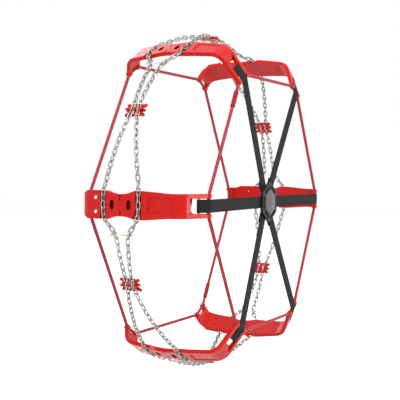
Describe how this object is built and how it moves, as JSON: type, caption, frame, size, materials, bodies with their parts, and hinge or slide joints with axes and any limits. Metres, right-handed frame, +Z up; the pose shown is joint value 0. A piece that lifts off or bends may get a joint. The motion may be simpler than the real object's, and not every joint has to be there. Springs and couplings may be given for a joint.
{
  "type": "tire snow chain set",
  "caption": "Snow chain set for a car wheel, as fitted: moulded arms over the tread carry two lines of chain, pulled tight by elastic side cords and straps to a central hub.",
  "frame": {"origin": "centre of the wheel, in the middle plane of the tyre that the set is fitted to", "axes": "Y along the wheel's axle with the outside of the car towards -Y; +Z up; +X towards arm_1, so that arm_1 and arm_4 lie level"},
  "size_m": [0.6552, 0.2314, 0.6508],
  "materials": {
    "arm_red": "glossy moulded plastic, solid red",
    "clip_red": "satin moulded plastic, solid red",
    "chain_steel": "galvanised steel wire, warm grey",
    "rod_steel": "dull drawn steel wire",
    "stud_steel": "bright steel rivet head",
    "strap_black": "woven elastic webbing, black",
    "cord_red": "braided sheath over an elastic core, dark red",
    "sleeve_red": "matte crimped sleeve, dark red",
    "hub_black": "matte moulded plastic, black",
    "badge_grey": "satin grey moulding, faceted, plain"
  },
  "bodies": {
    "root": {"arm_1": "arm_red", "arm_chain_1": "chain_steel", "lead_chain_1": "chain_steel", "tail_chain_1": "chain_steel", "strap_1": "strap_black", "arm_2": "arm_red", "arm_chain_2": "chain_steel", "lead_chain_2": "chain_steel", "tail_chain_2": "chain_steel", "strap_2": "strap_black", "arm_3": "arm_red", "arm_chain_3": "chain_steel", "lead_chain_3": "chain_steel", "tail_chain_3": "chain_steel", "strap_3": "strap_black", "arm_4": "arm_red", "arm_chain_4": "chain_steel", "lead_chain_4": "chain_steel", "tail_chain_4": "chain_steel", "strap_4": "strap_black", "arm_5": "arm_red", "arm_chain_5": "chain_steel", "lead_chain_5": "chain_steel", "tail_chain_5": "chain_steel", "strap_5": "strap_black", "arm_6": "arm_red", "arm_chain_6": "chain_steel", "lead_chain_6": "chain_steel", "tail_chain_6": "chain_steel", "strap_6": "strap_black", "strap_pins": "rod_steel", "arm_studs": "stud_steel", "outer_cord": "cord_red", "inner_cord": "cord_red", "outer_cord_sleeve": "sleeve_red", "inner_cord_sleeve": "sleeve_red"},
    "hub": {"hub_frame": "hub_black", "hub_badge": "badge_grey"},
    "clip_1": {"spider_clip_1": "clip_red", "clip_pin_1": "chain_steel"},
    "rod_1": {"tie_rod_1": "rod_steel"},
    "clip_2": {"spider_clip_2": "clip_red", "clip_pin_2": "chain_steel"},
    "rod_2": {"tie_rod_2": "rod_steel"},
    "clip_3": {"spider_clip_3": "clip_red", "clip_pin_3": "chain_steel"},
    "rod_3": {"tie_rod_3": "rod_steel"},
    "clip_4": {"spider_clip_4": "clip_red", "clip_pin_4": "chain_steel"},
    "rod_4": {"tie_rod_4": "rod_steel"},
    "clip_5": {"spider_clip_5": "clip_red", "clip_pin_5": "chain_steel"},
    "rod_5": {"tie_rod_5": "rod_steel"},
    "clip_6": {"spider_clip_6": "clip_red", "clip_pin_6": "chain_steel"},
    "rod_6": {"tie_rod_6": "rod_steel"}
  },
  "joints": [
    {"name": "hub_pull", "type": "slide", "parent": "root", "child": "hub", "axis": [0, -1, 0], "range_m": [0, 0.05], "stiffness_N_per_m": 1000, "deforming": ["strap_1", "strap_2", "strap_3", "strap_4", "strap_5", "strap_6"]},
    {"name": "clip_lift_1", "type": "slide", "parent": "root", "child": "clip_1", "axis": [0.8692, 0, 0.4945], "range_m": [0, 0.005], "stiffness_N_per_m": 2000, "deforming": ["lead_chain_1", "tail_chain_1"]},
    {"name": "clip_lift_2", "type": "slide", "parent": "root", "child": "clip_2", "axis": [0.0063, 0, 1], "range_m": [0, 0.005], "stiffness_N_per_m": 2000, "deforming": ["lead_chain_2", "tail_chain_2"]},
    {"name": "clip_lift_3", "type": "slide", "parent": "root", "child": "clip_3", "axis": [-0.8629, 0, 0.5055], "range_m": [0, 0.005], "stiffness_N_per_m": 2000, "deforming": ["lead_chain_3", "tail_chain_3"]},
    {"name": "clip_lift_4", "type": "slide", "parent": "root", "child": "clip_4", "axis": [-0.9028, 0, -0.4302], "range_m": [0, 0.005], "stiffness_N_per_m": 2000, "deforming": ["lead_chain_4", "tail_chain_4"]},
    {"name": "clip_lift_5", "type": "slide", "parent": "root", "child": "clip_5", "axis": [-0.0063, 0, -1], "range_m": [0, 0.005], "stiffness_N_per_m": 2000, "deforming": ["lead_chain_5", "tail_chain_5"]},
    {"name": "clip_lift_6", "type": "slide", "parent": "root", "child": "clip_6", "axis": [0.8629, 0, -0.5055], "range_m": [0, 0.005], "stiffness_N_per_m": 2000, "deforming": ["lead_chain_6", "tail_chain_6"]},
    {"name": "rod_shift_1", "type": "slide", "parent": "root", "child": "rod_1", "axis": [0, 1, 0], "range_m": [-0.002, 0.002]},
    {"name": "rod_shift_2", "type": "slide", "parent": "root", "child": "rod_2", "axis": [0, 1, 0], "range_m": [-0.002, 0.002]},
    {"name": "rod_shift_3", "type": "slide", "parent": "root", "child": "rod_3", "axis": [0, 1, 0], "range_m": [-0.002, 0.002]},
    {"name": "rod_shift_4", "type": "slide", "parent": "root", "child": "rod_4", "axis": [0, 1, 0], "range_m": [-0.002, 0.002]},
    {"name": "rod_shift_5", "type": "slide", "parent": "root", "child": "rod_5", "axis": [0, 1, 0], "range_m": [-0.002, 0.002]},
    {"name": "rod_shift_6", "type": "slide", "parent": "root", "child": "rod_6", "axis": [0, 1, 0], "range_m": [-0.002, 0.002]}
  ]
}
